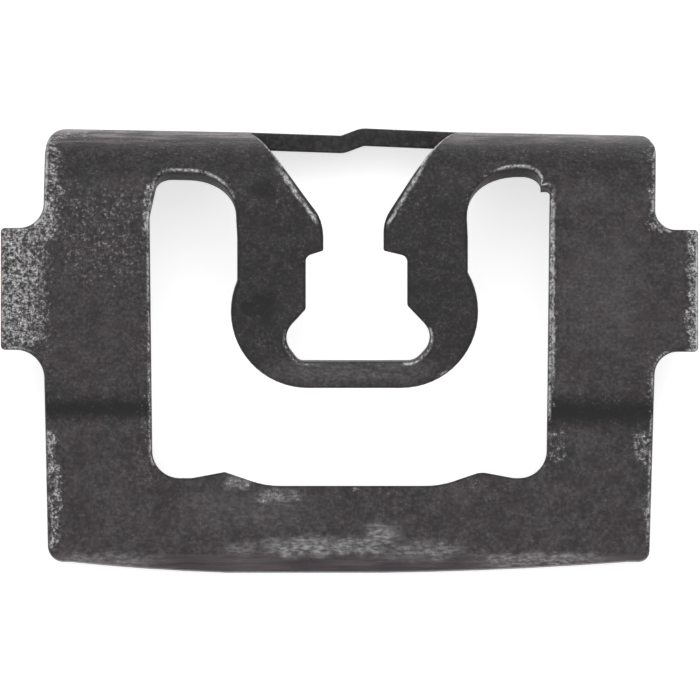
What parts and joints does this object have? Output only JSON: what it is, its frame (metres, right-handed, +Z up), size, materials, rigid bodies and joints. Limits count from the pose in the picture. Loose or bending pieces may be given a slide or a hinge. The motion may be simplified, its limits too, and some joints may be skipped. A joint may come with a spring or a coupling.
{
  "type": "molding clip",
  "caption": "Folded spring-steel clip that snaps over a headed weld stud and grips a trim molding by its side ears and rolled top edge.",
  "frame": {"origin": "centre of the clip's box, on the surface that it lies on", "axes": "+X along the length from ear to ear, +Y towards the rolled top edge, +Z up, out of the front face"},
  "size_m": [0.0318, 0.021, 0.0058],
  "materials": {
    "phosphated_spring_steel": "satin"
  },
  "bodies": {
    "root": {"molding_clip": "phosphated_spring_steel"}
  },
  "joints": []
}
